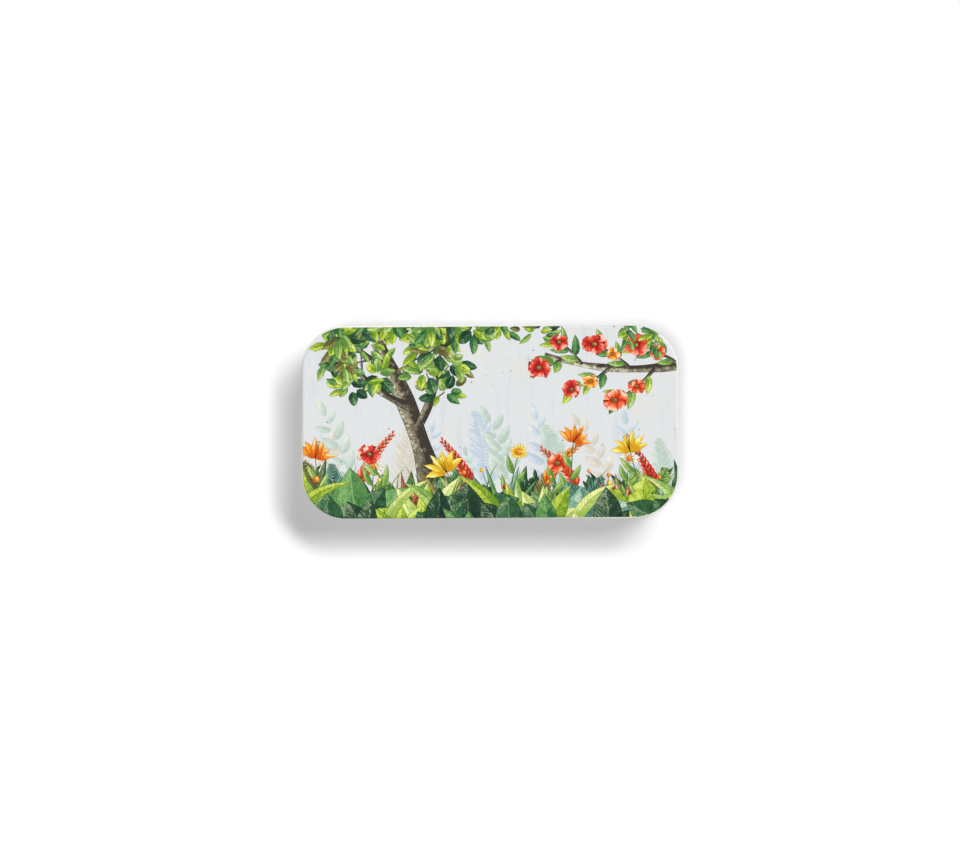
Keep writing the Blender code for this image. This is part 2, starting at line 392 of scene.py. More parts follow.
class Drawing:
    """The printed pattern: washes in painter's order, each an outline about a bent spine."""

    def __init__(self, seed):
        self.random = random.Random(seed)
        self.washes = []

    def between(self, low, high):
        return self.random.uniform(low, high)

    def pick(self, *choices):
        return self.random.choice(choices)

    def blade(self, start, heading, length, width, bend, form, ink, style, wave=0.05):
        """Adds one leaf, petal, stem or dot and returns its spine. Angles are in degrees."""
        points_per_mm = POINTS_PER_MM.get(form, COMMON_POINTS_PER_MM)
        steps = int(np.clip(length * points_per_mm, FEWEST_POINTS, MOST_POINTS))
        u = np.linspace(0, 1, steps + 1)
        turn = np.radians(heading + bend * u)
        ahead = np.column_stack([np.cos(turn), np.sin(turn)])
        pieces = (ahead[1:] + ahead[:-1]) / 2 * length / steps
        spine = np.array(start) + np.vstack([[0, 0], np.cumsum(pieces, axis=0)])
        ripple = 1 + wave * np.sin(2 * np.pi * (self.between(1.3, 3.2) * u + self.between(0, 1)))
        half = width / 2 * FORMS[form](u) * ripple
        side = np.column_stack([-ahead[:, 1], ahead[:, 0]]) * half[:, None]
        outline = np.vstack([spine + side, (spine - side)[::-1]])
        apart = np.linalg.norm(outline - np.roll(outline, 1, axis=0), axis=1) > SMALLEST_STEP
        self.washes.append({
            "outline": outline[apart],
            "spine": spine,
            "along": u * length,
            "half": np.maximum(half, SMALLEST_HALF_WIDTH),
            "ink": ink,
            "code": style + self.between(0.02, 0.9),
        })
        return spine, heading + bend * u

    def leaf(self, start, heading, length, width, bend, form, ink):
        """Adds one leaf, whose veins are pale where its ink is dark."""
        style = PALE_VEINED if sum(ink[1]) < 0.75 else DARK_VEINED
        return self.blade(start, heading, length, width, bend, form, ink, style)

    def sprig(self, start, heading, length, bend, leaves, size, inks, form="lance", stalk=STALK,
              spread=52, faint=False):
        """A bending stalk with leaves on alternate sides and one at its tip."""
        style = FAINT if faint else PLAIN
        spine, headings = self.blade(start, heading, length, 0.34, bend, "stem", stalk, style)
        draw = self.leaf if not faint else lambda *values: self.blade(*values, FAINT)
        for number in range(leaves):
            share = (number + 1.2) / (leaves + 1)
            at = place_at(spine, share)
            side = 1 if number % 2 else -1
            reach = size * (1.05 - 0.45 * share) * self.between(0.8, 1.2)
            angle = headings[at] + side * self.between(spread - 14, spread + 14)
            width = reach * self.between(0.36, 0.5)
            draw(spine[at], angle, reach, width, side * -16, form, self.pick(*inks))
        draw(spine[-1], headings[-1], size * 0.75, size * 0.3, 0, form, self.pick(*inks))

    def fern(self, start, heading, length, bend, ink, style=PLAIN):
        """A frond whose leaflets shorten towards the tip."""
        spine, headings = self.blade(start, heading, length, 0.4, bend, "stem", ink, style)
        count = int(length / 0.8)
        for number in range(1, count):
            share = number / count
            at = place_at(spine, share)
            reach = length * 0.27 * math.sin(math.pi * share**0.6) ** 0.8 + 0.4
            last = len(spine) - 1
            step = spine[min(at + 1, last)] - spine[at]
            root = spine[at] + step * (share * last - at)
            for side in (1, -1):
                angle = headings[at] + side * self.between(50, 62)
                leaflet = reach * self.between(0.85, 1.1)
                self.blade(root, angle, leaflet, 0.8, side * -20, "lance", ink, style)

    def rosette(self, centre, count, length, width, inks, low=20, high=160, form="lance"):
        """Leaves that fan out of one root, the outer ones drawn first."""
        turns = [low + (high - low) * (n + 0.5) / count for n in range(count)]
        for turn in sorted(turns, key=lambda t: -abs(t - 90)):
            lean = (90 - turn) * self.between(0.1, 0.95)
            reach = length * self.between(0.72, 1.12) * (1 - 0.15 * abs(turn - 90) / 70)
            self.leaf(centre, turn + self.between(-7, 7), reach, width * self.between(0.8, 1.2), -lean, form,
                      self.pick(*inks))

    def petal(self, centre, radius, turn, squash, long, width, bend, form, ink, wave=0.05):
        """One petal of a flower seen aslant, so that it shortens and turns as the squash has it."""
        across, up = towards(turn, squash)
        self.blade(centre, math.degrees(math.atan2(up, across)), radius * math.hypot(across, up) * long,
                   radius * width, bend, form, ink, PETAL, wave)

    def poppy(self, centre, radius, ink, squash=0.8, turn=0.0):
        """Five broad crumpled petals round a green heart with a ring of dark stamens."""
        for number in range(5):
            long, width, bend = self.between(0.85, 1.15), self.between(1.15, 1.45), self.between(-25, 25)
            self.petal(centre, radius, turn + 144 * number, squash, long, width, bend, "petal", ink, 0.12)
        for number in range(9):
            angle = 40 * number + self.between(-12, 12)
            reach = radius * self.between(0.26, 0.36)
            self.dot(centre + reach * towards(angle, squash), radius * 0.05, SOOT)
        self.dot(centre, radius * 0.17, STALK)

    def lily(self, centre, radius, ink, heading, open_by=150):
        """Pointed petals that spread from a narrow throat, with long stamens."""
        outer_first = (0, 5, 1, 4, 2, 3)
        for number in outer_first:
            turn = heading + open_by * ((number + 0.5) / len(outer_first) - 0.5)
            self.blade(centre, turn, radius * self.between(0.85, 1.15), radius * 0.36,
                       (turn - heading) * self.between(0.2, 0.6), "lance", ink, PETAL, 0.1)
        for number in range(4):
            turn = heading + self.between(-25, 25)
            bend = self.between(-20, 20)
            stamen, _ = self.blade(centre, turn, radius * 0.8, 0.16, bend, "stem", SOOT, PLAIN)
            self.dot(stamen[-1], 0.2, ORANGE)

    def daisy(self, centre, radius, ink, heart, squash=0.85, turn=0.0):
        """Many narrow petals round a broad heart."""
        petals = 13
        for number in range(petals):
            long, bend = self.between(0.85, 1.1), self.between(-15, 15)
            self.petal(centre, radius, turn + 360 * number / petals, squash, long, 0.36, bend, "oval", ink)
        self.dot(centre, radius * 0.3, heart)

    def spray(self, start, heading, length, bend, ink):
        """An arching stem with buds that shrink towards its tip."""
        spine, headings = self.blade(start, heading, length, 0.36, bend, "stem", STALK, PLAIN)
        first = int(0.45 * len(spine))
        for at in range(first, len(spine)):
            share = (at - first) / (len(spine) - first)
            side = 1 if at % 2 else -1
            size = 2.9 * (1.1 - 0.7 * share)
            angle = headings[at] + side * 38
            self.blade(spine[at], angle, size, size * 0.42, -side * 30, "petal", ink, PETAL)

    def dot(self, centre, radius, ink, style=PLAIN):
        """A round spot, a little uneven."""
        start = (centre[0] - radius, centre[1])
        self.blade(start, 0, 2 * radius, 2 * radius, 0, "disc", ink, style, wave=0.06)

    def bough(self, start, heading, length, width, bend, form="stem"):
        """A woody branch. Returns its spine and headings, for what grows on it."""
        return self.blade(start, heading, length, width, bend, form, BARK, WOOD, wave=0.12)


def draw_distance(d):
    """Pale plants far back, at the edge of the open ground."""
    for number in range(13):
        x = -46 + 7.6 * number + d.between(-3, 3)
        ink = d.pick(MIST_GREEN, MIST_BLUE, MIST_SAND)
        heading = 90 + d.between(-22, 22)
        if number % 3 == 0:
            d.fern((x, FAR_ROOTS), heading, d.between(14, 22), d.between(-30, 30), ink, FAINT)
        else:
            length, bend, size = d.between(12, 22), d.between(-30, 30), d.between(4.5, 7)
            d.sprig((x, FAR_ROOTS), heading, length, bend, 9, size, (ink,), "oval", ink, faint=True)


def leaf_cluster(d, centre, reach, count, inks, size):
    """Foliage seen in a mass: dark gaps behind, then leaves that point out of the middle."""
    for _ in range(count // 3):
        angle = d.between(0, 360)
        spot = centre + reach * d.between(0, 0.5) * towards(angle)
        d.leaf(spot, angle, size * d.between(0.8, 1.2), size * 0.6, d.between(-30, 30), "oval", DEEP)
    for number in range(count):
        share = 1 - number / count
        angle = d.between(0, 360)
        spot = centre + reach * share * d.between(0.55, 1.0) * towards(angle, 0.75)
        d.leaf(spot, angle + d.between(-50, 50), size * d.between(0.6, 1.15), size * d.between(0.34, 0.52),
               d.between(-35, 35), d.pick("oval", "lance", "oval"), d.pick(*inks))


def draw_tree(d):
    """A leaning trunk left of the middle, its branches and its foliage along the back edge."""
    trunk, turns = d.bough((-13, -22), 101, 45, 8.5, 18, "trunk")
    limbs = ((0.46, -50, 24, 2.4, 34), (0.62, 46, 22, 2.1, -38), (0.74, -58, 21, 1.9, 30),
             (0.84, 40, 15, 1.5, -20))
    branches = []
    for share, lean, length, width, bend in limbs:
        at = place_at(trunk, share)
        branches.append(d.bough(trunk[at], turns[at] + lean, length, width, bend))
    spots = []
    for spine, headings in branches:
        for at in range(len(spine) // 3, len(spine), 5):
            side = 1 if (at // 5) % 2 else -1
            twig, _ = d.bough(spine[at], headings[at] + side * 50, d.between(4, 7), 0.6, -side * 20)
            spots.append(twig[-1])
        spots.append(spine[-1])
    inks = (LIME, SPRING, LIME, MEADOW, OLIVE, SPRING)
    for spot in spots:
        leaf_cluster(d, spot, d.between(3.2, 5.2), 11, inks, d.between(3.4, 4.8))
    for number in range(9):
        spot = np.array([-44 + 6.8 * number + d.between(-2, 2), 23.5 + d.between(-1, 3)])
        leaf_cluster(d, spot, d.between(3.5, 6), 12, inks, d.between(3.6, 5))


def draw_flowering_bough(d):
    """A blossoming branch that reaches in from the right-hand end."""
    spine, headings = d.bough((55, 16), 196, 42, 2.6, -34)
    twigs = ((0.2, -1, 12), (0.34, 1, 13), (0.48, -1, 11), (0.62, 1, 11), (0.78, -1, 8), (0.9, 1, 6))
    for share, side, reach in twigs:
        at = place_at(spine, share)
        twig, turns = d.bough(spine[at], headings[at] + side * 46, reach, 0.9, -side * 24)
        for number in range(1, 6):
            place = int(number / 5 * (len(twig) - 1))
            lean = 48 if number % 2 else -48
            d.leaf(twig[place], turns[place] + lean, d.between(3.2, 5.6), d.between(1.5, 2.2), -lean * 0.3,
                   "lance", d.pick(LIME, SPRING, MEADOW))
        radius, ink = d.between(2.3, 3.3), d.pick(RED, RED, SCARLET)
        d.poppy(twig[-1], radius, ink, d.between(0.65, 0.95), d.between(0, 72))
        if reach > 10:
            radius, ink = d.between(1.5, 2.2), d.pick(SCARLET, ORANGE)
            d.poppy(twig[len(twig) // 2], radius, ink, 0.8, d.between(0, 72))
    for number in range(7):
        x = 33 + 2.6 * number + d.between(-1, 1)
        heading, length, bend = -90 + d.between(-30, 30), d.between(6, 12), d.between(-40, 40)
        size, form = d.between(3.2, 4.4), d.pick("lance", "oval")
        d.sprig((x, TOP_ROOTS), heading, length, bend, 7, size, (LIME, SPRING, MEADOW), form, BARK)


def draw_undergrowth(d):
    """Dark leaves in the shade, which close the gaps along the front edge."""
    for number in range(58):
        x = -54 + 1.9 * number + d.between(-0.8, 0.8)
        height = 11 + 5 * (x / PRINT_HALF_LENGTH) ** 2 + 2 * math.sin(0.21 * x) + d.between(-3, 2)
        ink = d.pick(SHADE, DEEP, SHADE, POND, DEEP)
        heading, width, bend = 90 + d.between(-30, 30), d.between(3.2, 5.4), d.between(-30, 30)
        form = d.pick("broad", "lance", "lobed")
        d.leaf((x, SHADE_ROOTS), heading, height + 6, width, bend, form, ink)


def draw_stems(d):
    """Grasses, ferns and tall flowers behind the front leaves."""
    for number in range(52):
        x = -50 + 1.95 * number + d.between(-0.8, 0.8)
        heading, length, bend = 90 + d.between(-24, 24), d.between(7, 16), d.between(-55, 55)
        ink = d.pick(LIME, SPRING, OLIVE, STALK)
        d.blade((x, GRASS_ROOTS), heading, length, 0.6, bend, "grass", ink, PLAIN)
    for number in range(14):
        x = -50 + 7.9 * number + d.between(-2, 2)
        d.fern((x, STEM_ROOTS), 90 + d.between(-40, 40), d.between(12, 18), d.between(-40, 40),
               d.pick(MEADOW, POND, SPRING, DEEP, OLIVE))
    sprays = ((-36, 80, 26, -34, SCARLET), (-1, 102, 24, 30, RED), (9, 76, 26, -40, ORANGE),
              (27, 108, 24, 36, SCARLET), (44, 98, 22, 30, RED))
    for x, heading, length, bend, ink in sprays:
        d.spray((x, STEM_ROOTS), heading, length, bend, ink)
    flowers = ((-43, 17, "lily", ORANGE), (-29, 15, "daisy", CREAM), (-24, 19, "poppy", RED),
               (-7, 14, "lily", YELLOW), (3, 19, "daisy", YELLOW), (14, 16, "poppy", SCARLET),
               (20, 21, "lily", ORANGE), (33, 17, "daisy", CREAM), (39, 19, "lily", YELLOW))
    for x, height, kind, ink in flowers:
        heading, bend = 90 + d.between(-14, 14), d.between(-18, 18)
        stem, turns = d.blade((x, STEM_ROOTS), heading, height, 0.46, bend, "stem", STALK, PLAIN)
        for side, share in ((1, 0.4), (-1, 0.55), (1, 0.7)):
            at = place_at(stem, share)
            d.leaf(stem[at], turns[at] + side * 40, d.between(4, 6), 1.6, -side * 22, "lance", SPRING)
        if kind == "lily":
            d.lily(stem[-1], d.between(4.2, 5.4), ink, turns[-1] + d.between(-30, 30))
        elif kind == "daisy":
            d.daisy(stem[-1], d.between(2.4, 3.0), ink, ORANGE, d.between(0.6, 0.9), d.between(0, 40))
        else:
            d.poppy(stem[-1], d.between(2.8, 3.6), ink, d.between(0.65, 0.85), d.between(0, 72))


def draw_front(d):
    """Big leaves along the front edge, from the back of the bed to its front."""
    for number in range(8):
        x = -46 + 13 * number + d.between(-3, 3)
        inks = d.pick((OLIVE, BRONZE), (BRONZE, BRONZE, OLIVE), (POND, MEADOW))
        d.rosette((x, STEM_ROOTS), 6, d.between(12, 17), d.between(1.7, 2.7), inks, 35, 145, "strap")
    beds = ((-46, "lance", (SPRING, LIME), 18, 4.4), (37, "lobed", (LIME, LIME, SPRING), 17, 9.5),
            (-33, "broad", (DEEP, MEADOW, DEEP), 17, 9), (-17, "lance", (LIME, PALE_LIME), 18, 4.2),
            (24, "broad", (DEEP, POND, DEEP), 17, 9), (8, "strap", (LIME, SPRING), 16, 3.2),
            (47, "broad", (DEEP, SHADE), 16, 8), (-5, "broad", (DEEP, SHADE, DEEP), 16, 8.5),
            (14, "lance", (PALE_LIME, LIME), 15, 4.2))
    for x, form, inks, length, width in beds:
        d.rosette((x, BED_ROOTS), 7 if form != "lobed" else 5, length, width, inks, 18, 162, form)
    arching = ((-52, 74, 23, -60, LIME), (-27, 80, 19, -52, PALE_LIME), (-10, 108, 18, 50, SPRING),
               (4, 102, 20, 56, LIME), (20, 76, 18, -58, PALE_LIME), (52, 112, 21, 48, SPRING))
    for x, heading, length, bend, ink in arching:
        turn = heading + d.between(-8, 8)
        d.leaf((x, ARCH_ROOTS), turn, length, d.between(2.4, 3.4), bend, "lance", ink)
    low = ((-49, "lobed", (LIME, SPRING), 12, 7.5), (-40, "broad", (DEEP, SHADE, DEEP), 13, 7),
           (-31, "broad", (SHADE, DEEP), 12, 7), (-23, "lance", (SPRING, LIME), 11, 3.8),
           (-13, "broad", (DEEP, SHADE, DEEP), 13, 7), (-4, "lance", (MEADOW, DEEP), 11, 4.2),
           (5, "broad", (SHADE, DEEP), 13, 7), (14, "broad", (DEEP, MEADOW, DEEP), 12, 6.5),
           (22, "lance", (LIME, PALE_LIME), 10, 3.6), (30, "broad", (SHADE, DEEP), 13, 7),
           (40, "lobed", (SPRING, LIME), 10, 6), (48, "broad", (DEEP, SHADE), 12, 6.5))
    for x, form, inks, length, width in low:
        d.rosette((x + d.between(-1, 1), LOW_ROOTS), 5, length, width, inks, 22, 158, form)


def draw_buttons(d):
    """Button flowers and berries on thin stems."""
    for _ in range(24):
        x, height = d.between(-PRINT_HALF_LENGTH, PRINT_HALF_LENGTH), d.between(6, 15)
        heading, bend = 90 + d.between(-16, 16), d.between(-30, 30)
        stem, _ = d.blade((x, STEM_ROOTS), heading, height, 0.3, bend, "stem", STALK, PLAIN)
        d.dot(stem[-1], d.between(0.4, 0.85), d.pick(YELLOW, ORANGE, YELLOW, RED), PETAL)


def draw_flecks(d):
    """Flicked paint."""
    for _ in range(60):
        x = d.between(-46, 46)
        y = d.pick(d.between(-14, 0), d.between(6, 20))
        d.dot((x, y), d.between(0.08, 0.2), d.pick(LIME, SPRING, MIST_SAND, MIST_GREEN, STALK))


def pattern():
    """The whole print, from the back of the scene to its front."""
    d = Drawing(PRINT_SEED)
    draw_distance(d)
    draw_tree(d)
    draw_flowering_bough(d)
    draw_undergrowth(d)
    draw_stems(d)
    draw_buttons(d)
    draw_front(d)
    draw_flecks(d)
    return d.washes


def unrolled_frame(flat):
    """Core point, outward direction and distance past the flat panel of points on the unrolled lid."""
    core = np.clip(flat, -np.array(CORE), CORE)
    away = flat - core
    reach = np.linalg.norm(away, axis=1)
    outward = away / np.maximum(reach, 1e-12)[:, None]
    return core, outward, reach - PANEL_RADIUS


def wrapped(flat):
    """Places and normals on the lid's outside of points on the unrolled lid."""
    core, outward, past = unrolled_frame(flat)
    turn = np.clip(past / EDGE_ROLL, 0, math.pi / 2)
    inside = past <= 0
    across = np.where(inside, PANEL_RADIUS + past, PANEL_RADIUS + EDGE_ROLL * np.sin(turn))
    down = EDGE_ROLL * (1 - np.cos(turn)) + np.maximum(past - ROLL_LENGTH, 0)
    places = np.column_stack([core + outward * across[:, None], TIN_HEIGHT - down])
    normals = np.column_stack([outward * np.sin(turn)[:, None], np.cos(turn)])
    return places, normals


def loop_at(past):
    """A closed line on the unrolled lid at a distance past the flat panel's edge."""
    radius = PANEL_RADIUS + past
    points = []
    for quarter, (side_x, side_y) in enumerate(CORNER_SIDES):
        for step in range(CORNER_STEPS + 1):
            turn = (quarter + step / CORNER_STEPS) * math.pi / 2
            points.append((side_x * CORE[0] + radius * math.cos(turn),
                           side_y * CORE[1] + radius * math.sin(turn)))
    return points


class Lookup:
    """Finds which of a set of points lie in an outline."""

    def __init__(self, points):
        self.points = points
        self.order = np.argsort(points[:, 0])
        self.sorted_x = points[self.order, 0]

    def within(self, outline):
        low, high = outline.min(0), outline.max(0)
        first, last = np.searchsorted(self.sorted_x, (low[0], high[0]))
        near = self.order[first:last]
        near = near[(self.points[near, 1] > low[1]) & (self.points[near, 1] < high[1])]
        x, y = self.points[near, :1], self.points[near, 1:]
        (from_x, from_y), (to_x, to_y) = outline.T, np.roll(outline, -1, axis=0).T
        spans = (from_y > y) != (to_y > y)
        climb = np.where(to_y == from_y, 1e-12, to_y - from_y)
        crossed = spans & (x < (to_x - from_x) * (y - from_y) / climb + from_x)
        return near[crossed.sum(1) % 2 == 1]


def seen_edges(washes, limit):
    """Ends of the outlines' edges that no later wash covers, cut off at a distance past the panel."""
    outlines = [wash["outline"] for wash in washes]
    sizes = np.array([len(outline) for outline in outlines])
    points = np.vstack(outlines)
    owner = np.repeat(np.arange(len(outlines)), sizes)
    after = np.arange(1, len(points) + 1)
    after[np.cumsum(sizes) - 1] = np.cumsum(sizes) - sizes
    covered = np.zeros(len(points), bool)
    marked = np.zeros(len(points), bool)
    lookup = Lookup(points)
    for number, outline in enumerate(outlines):
        within = lookup.within(outline)
        within = within[owner[within] < number]
        marked[within] = True
        covered[within] |= marked[after[within]]
        marked[within] = False
    past = unrolled_frame(points * MM)[2]
    past_end = past[after]
    kept = ~covered & ((past < limit) | (past_end < limit))
    starts, ends = points[kept], points[after][kept]
    past, past_end = past[kept], past_end[kept]
    share = ((limit - past) / np.where(past_end == past, 1, past_end - past))[:, None]
    crossing = starts + (ends - starts) * share
    cut_starts = np.where((past > limit)[:, None], crossing, starts)
    cut_ends = np.where((past_end > limit)[:, None], crossing, ends)
    return cut_starts, cut_ends


def cut_outside(washes):
    """Triangles of the lid's unrolled outside, cut along every wash, with the wash on top of each.
    """
    limit = SKIRT_END - SUPPORT
    starts, ends = seen_edges(washes, limit)
    points = [Vector(point) for point in np.vstack([starts, ends])]
    edges = [(number, number + len(starts)) for number in range(len(starts))]
    levels = [SKIRT_END, limit, -SUPPORT, ROLL_LENGTH + SUPPORT]
    levels += [ROLL_LENGTH * step / ROLL_STEPS for step in range(ROLL_STEPS + 1)]
    for level in levels:
        first, line = len(points), loop_at(level)
        points += [Vector((x / MM, y / MM)) for x, y in line]
        edges += [(first + here, first + (here + 1) % len(line)) for here in range(len(line))]
    found = delaunay_2d_cdt(points, edges, [], 0, 1e-5, False)
    flat = np.array([tuple(point) for point in found[0]])
    faces = np.array([tuple(face) for face in found[2]])
    middles = Lookup(flat[faces].mean(1))
    tops = np.zeros(len(faces), int)
    for number, wash in enumerate(washes, 1):
        tops[middles.within(wash["outline"])] = number
    return flat * MM, faces, tops


def on_spine(points, wash):
    """Distance along a wash's spine, share across it and its half width, at each point."""
    start, run = wash["spine"][:-1], np.diff(wash["spine"], axis=0)
    length = np.maximum((run**2).sum(1), 1e-12)
    away = points[:, None] - start[None]
    share = np.clip((away * run).sum(2) / length, 0, 1)
    gap = away - share[:, :, None] * run
    nearest = (gap**2).sum(2).argmin(1)
    every = np.arange(len(points))
    share, gap, run = share[every, nearest], gap[every, nearest], run[nearest]
    turn = run[:, 0] * gap[:, 1] - run[:, 1] * gap[:, 0]
    along = wash["along"][nearest] + share * np.diff(wash["along"])[nearest]
    half = wash["half"][nearest] * (1 - share) + wash["half"][nearest + 1] * share
    across = np.sign(turn) * np.linalg.norm(gap, axis=1) / half
    return along, np.clip(across, -1, 1), half


def ink_values(flat, faces, tops, washes):
    """For each corner of each triangle: place on its wash, shaded colour and lit colour."""
    corners = flat[np.array(faces).ravel()] / MM
    place = np.zeros((len(corners), 3))
    dark = np.zeros((len(corners), 4))
    light = np.zeros((len(corners), 4))
    owners = np.repeat(tops, 3)
    for number in np.unique(tops):
        if number == 0:
            continue
        wash = washes[number - 1]
        mine = np.flatnonzero(owners == number)
        along, across, half = on_spine(corners[mine], wash)
        place[mine] = np.column_stack([along, across, half])
        dark[mine] = np.column_stack([np.tile(wash["ink"][0], (len(mine), 1)), along / wash["along"][-1]])
        light[mine] = (*wash["ink"][1], wash["code"])
    return place, dark, light


class Wash:
    """What the print's attributes tell at a point: its place on its wash, the inks and how it is worked."""

    def __init__(self, f):
        self.f = f
        dark, light = f.attribute("print_dark"), f.attribute("print_light")
        place = f.attribute("print_place").outputs["Vector"]
        self.along, self.across, self.half = f.add("SeparateXYZ", {0: place}).outputs
        self.offset = f.times(f.math("ABSOLUTE", self.across), self.half)
        self.edge = f.math("SUBTRACT", self.half, self.offset)
        self.share = dark.outputs["Alpha"]
        self.dark, self.light = dark.outputs["Color"], light.outputs["Color"]
        self.style = f.math("FLOOR", light.outputs["Alpha"])
        self.chance = f.math("FRACT", light.outputs["Alpha"])

    def is_style(self, code):
        return self.f.math("COMPARE", self.style, float(code), 0.1)

    def strokes(self, first, second, scale, detail, roughness, distortion=0.0):
        """Noise in two directions of the wash, different on each wash."""
        place = self.f.vector(first, second, self.f.times(self.chance, 40.0))
        return self.f.noise(place, scale, detail, roughness, distortion)

    def body(self, pools, granules):
        """One half of a leaf darker, its base darker than its tip, and pigment pooled at the edge."""
        f = self.f
        lit_side = f.band(self.across, -0.3, 0.3, -0.26, 0.26)
        tip = f.band(self.share, 0.0, 0.9, -0.44, 0.24)
        pooled = f.band(self.edge, 0.0, 0.3, -0.2, 0.0)
        own = f.about(self.chance, 0.45, 0.5)
        return f.sum(0.5, lit_side, tip, pooled, f.about(pools, 0.5, 2.0), f.about(granules, 0.5, 0.5), own)

    def veins(self):
        """A midrib and slanting side veins, with brush strokes that lie along them."""
        f = self.f
        pale, deep = self.is_style(PALE_VEINED), self.is_style(DARK_VEINED)
        wide = f.band(self.half, 0.45, 1.1)
        slant = f.math("SUBTRACT", self.along, f.times(self.offset, 1.1))
        turn = f.math("FRACT", f.times(slant, 0.95))
        side_vein = f.band(f.math("ABSOLUTE", f.math("SUBTRACT", turn, 0.5)), 0.04, 0.14, 1.0, 0.0)
        rib = f.band(self.offset, 0.05, 0.2, 1.0, 0.0)
        lines = f.times(wide, f.sum(f.times(rib, 0.6), f.times(side_vein, 0.32)))
        brushed = self.strokes(f.times(slant, 1.7), f.times(self.offset, 0.5), 1.3, 3.0, 0.7)
        hatch = f.times(f.math("ADD", pale, deep), wide, f.about(brushed, 0.5, 1.5))
        return f.sum(f.times(lines, f.math("SUBTRACT", pale, deep)), hatch)

    def petals(self):
        """Streaks that run outwards from a deep heart."""
        f = self.f
        streaks = self.strokes(f.times(self.along, 0.35), f.times(self.across, 2.2), 3.0, 3.0, 0.6)
        shade = f.sum(f.band(self.share, 0.05, 0.75, -0.45, 0.3), f.about(streaks, 0.5, 1.6))
        return f.times(self.is_style(PETAL), shade)

    def bark(self, spot):
        """Rounded by shade, with long dark cracks and pale patches."""
        f = self.f
        fibres = self.strokes(f.times(self.along, 0.5), f.times(self.across, 1.6), 2.6, 5.0, 0.75, 0.6)
        patches = f.band(f.noise(spot, 420.0, 3.0, 0.6), 0.5, 0.62, 0.0, 0.5)
        rounded = f.band(self.across, -1.0, 0.7, -0.5, 0.25)
        return f.times(self.is_style(WOOD), f.sum(f.about(fibres, 0.52, 3.4), rounded, patches))


def drawn_ink(f, spot, pools, granules):
    """The washes' colour, and where there is a wash.

    A pen line goes round each, broken and uneven, in a deeper tone of the same ink.
    """
    wash = Wash(f)
    shade = f.sum(wash.body(pools, granules), wash.veins(), wash.petals(), wash.bark(spot))
    ink = f.mix(f.math("ADD", shade, 0.0, clamp=True), wash.dark, wash.light)
    dark_leaf = wash.is_style(PALE_VEINED)
    paper = f.times(f.band(shade, 0.85, 1.55, 0.0, 0.7), f.math("SUBTRACT", 1.0, f.times(dark_leaf, 0.4)))
    bright = f.mix(f.times(dark_leaf, 0.6), paint(240, 242, 214), paint(150, 184, 120))
    ink = f.mix(paper, ink, bright)
    line = f.math("LESS_THAN", wash.edge, f.band(pools, 0.35, 0.62, 0.02, 0.14))
    clear = f.math("LESS_THAN", wash.style, FAINT - 0.5)
    line = f.times(line, clear, f.band(granules, 0.3, 0.5, 0.45, 0.85))
    deeper = f.mix(1.0, wash.dark, (0.38, 0.36, 0.36, 1), "MULTIPLY")
    return f.mix(line, ink, deeper), f.math("GREATER_THAN", wash.style, 0.5)


def ground_ink(f, spot):
    """The pale ground, with faint cool and warm washes."""
    streaming = f.noise(f.place((3.0, 0.35, 1.0)), 150.0, 3.0, 0.6)
    cool = f.band(streaming, 0.54, 0.72, 0.0, 0.5)
    warm = f.band(f.noise(spot, 90.0, 3.0, 0.55), 0.52, 0.7, 0.0, 0.4)
    ground = f.mix(cool, paint(219, 221, 222), paint(198, 208, 219))
    return f.mix(warm, ground, paint(223, 223, 209))


def past_panel(f, shift=(0.0, 0.0), twist=0.0):
    """Distance on the unrolled lid past the flat panel, as a print shifted and twisted by this has it."""
    unrolled = f.add("SeparateXYZ", {0: f.add("UVMap", uv_map="OFBake").outputs[0]}).outputs
    flat_x, flat_y = [f.about(unrolled[axis], 0.5, SHEET_SPAN) for axis in (0, 1)]
    x = f.sum(flat_x, f.times(flat_y, -twist), shift[0])
    y = f.sum(flat_y, f.times(flat_x, twist), shift[1])
    squares = []
    for place, core in zip((x, y), CORE):
        past = f.math("MAXIMUM", f.math("SUBTRACT", f.math("ABSOLUTE", place), core), 0.0)
        squares.append(f.times(past, past))
    return f.math("SUBTRACT", f.math("SQRT", f.sum(*squares)), PANEL_RADIUS)


def bare_line(f, pools):
    """The pale line on the edge roll, between the top's print and the skirt's."""
    wobble = f.about(pools, 0.5, PRINT_END_WOBBLE)
    past_image = f.math("ADD", past_panel(f, PRINT_SHIFT, PRINT_TWIST), wobble)
    past_line = f.math("ADD", past_panel(f), wobble)
    starts = f.band(past_image, IMAGE_END, IMAGE_END + PRINT_END_SOFTNESS)
    return f.times(starts, f.band(past_line, SKIRT_START, SKIRT_START + PRINT_END_SOFTNESS, 1.0, 0.0))


def printed_finish():
    """Satin lacquer over watercolour washes and pen work on a pale ground."""
    f = Finish("printed lacquer")
    spot = f.place()
    granules = f.noise(spot, 2400.0, 2.0, 0.6)
    pools = f.noise(spot, 560.0, 4.0, 0.65, 0.8)
    drawn, printed = drawn_ink(f, spot, pools, granules)
    image = f.mix(printed, ground_ink(f, spot), drawn)
    f.set(base_color=f.mix(bare_line(f, pools), image, paint(238, 237, 226)))
    smears = f.noise(f.place((0.4, 1.6, 1.0)), 260.0, 3.0, 0.6)
    f.set(roughness=f.band(smears, 0.3, 0.7, 0.38, 0.48))
    f.shader.inputs["Specular IOR Level"].default_value = 0.28
    f.bump(f.sum(f.times(pools, 0.4), f.times(granules, 0.3)), 0.12, 0.02 * MM)
    return f.material


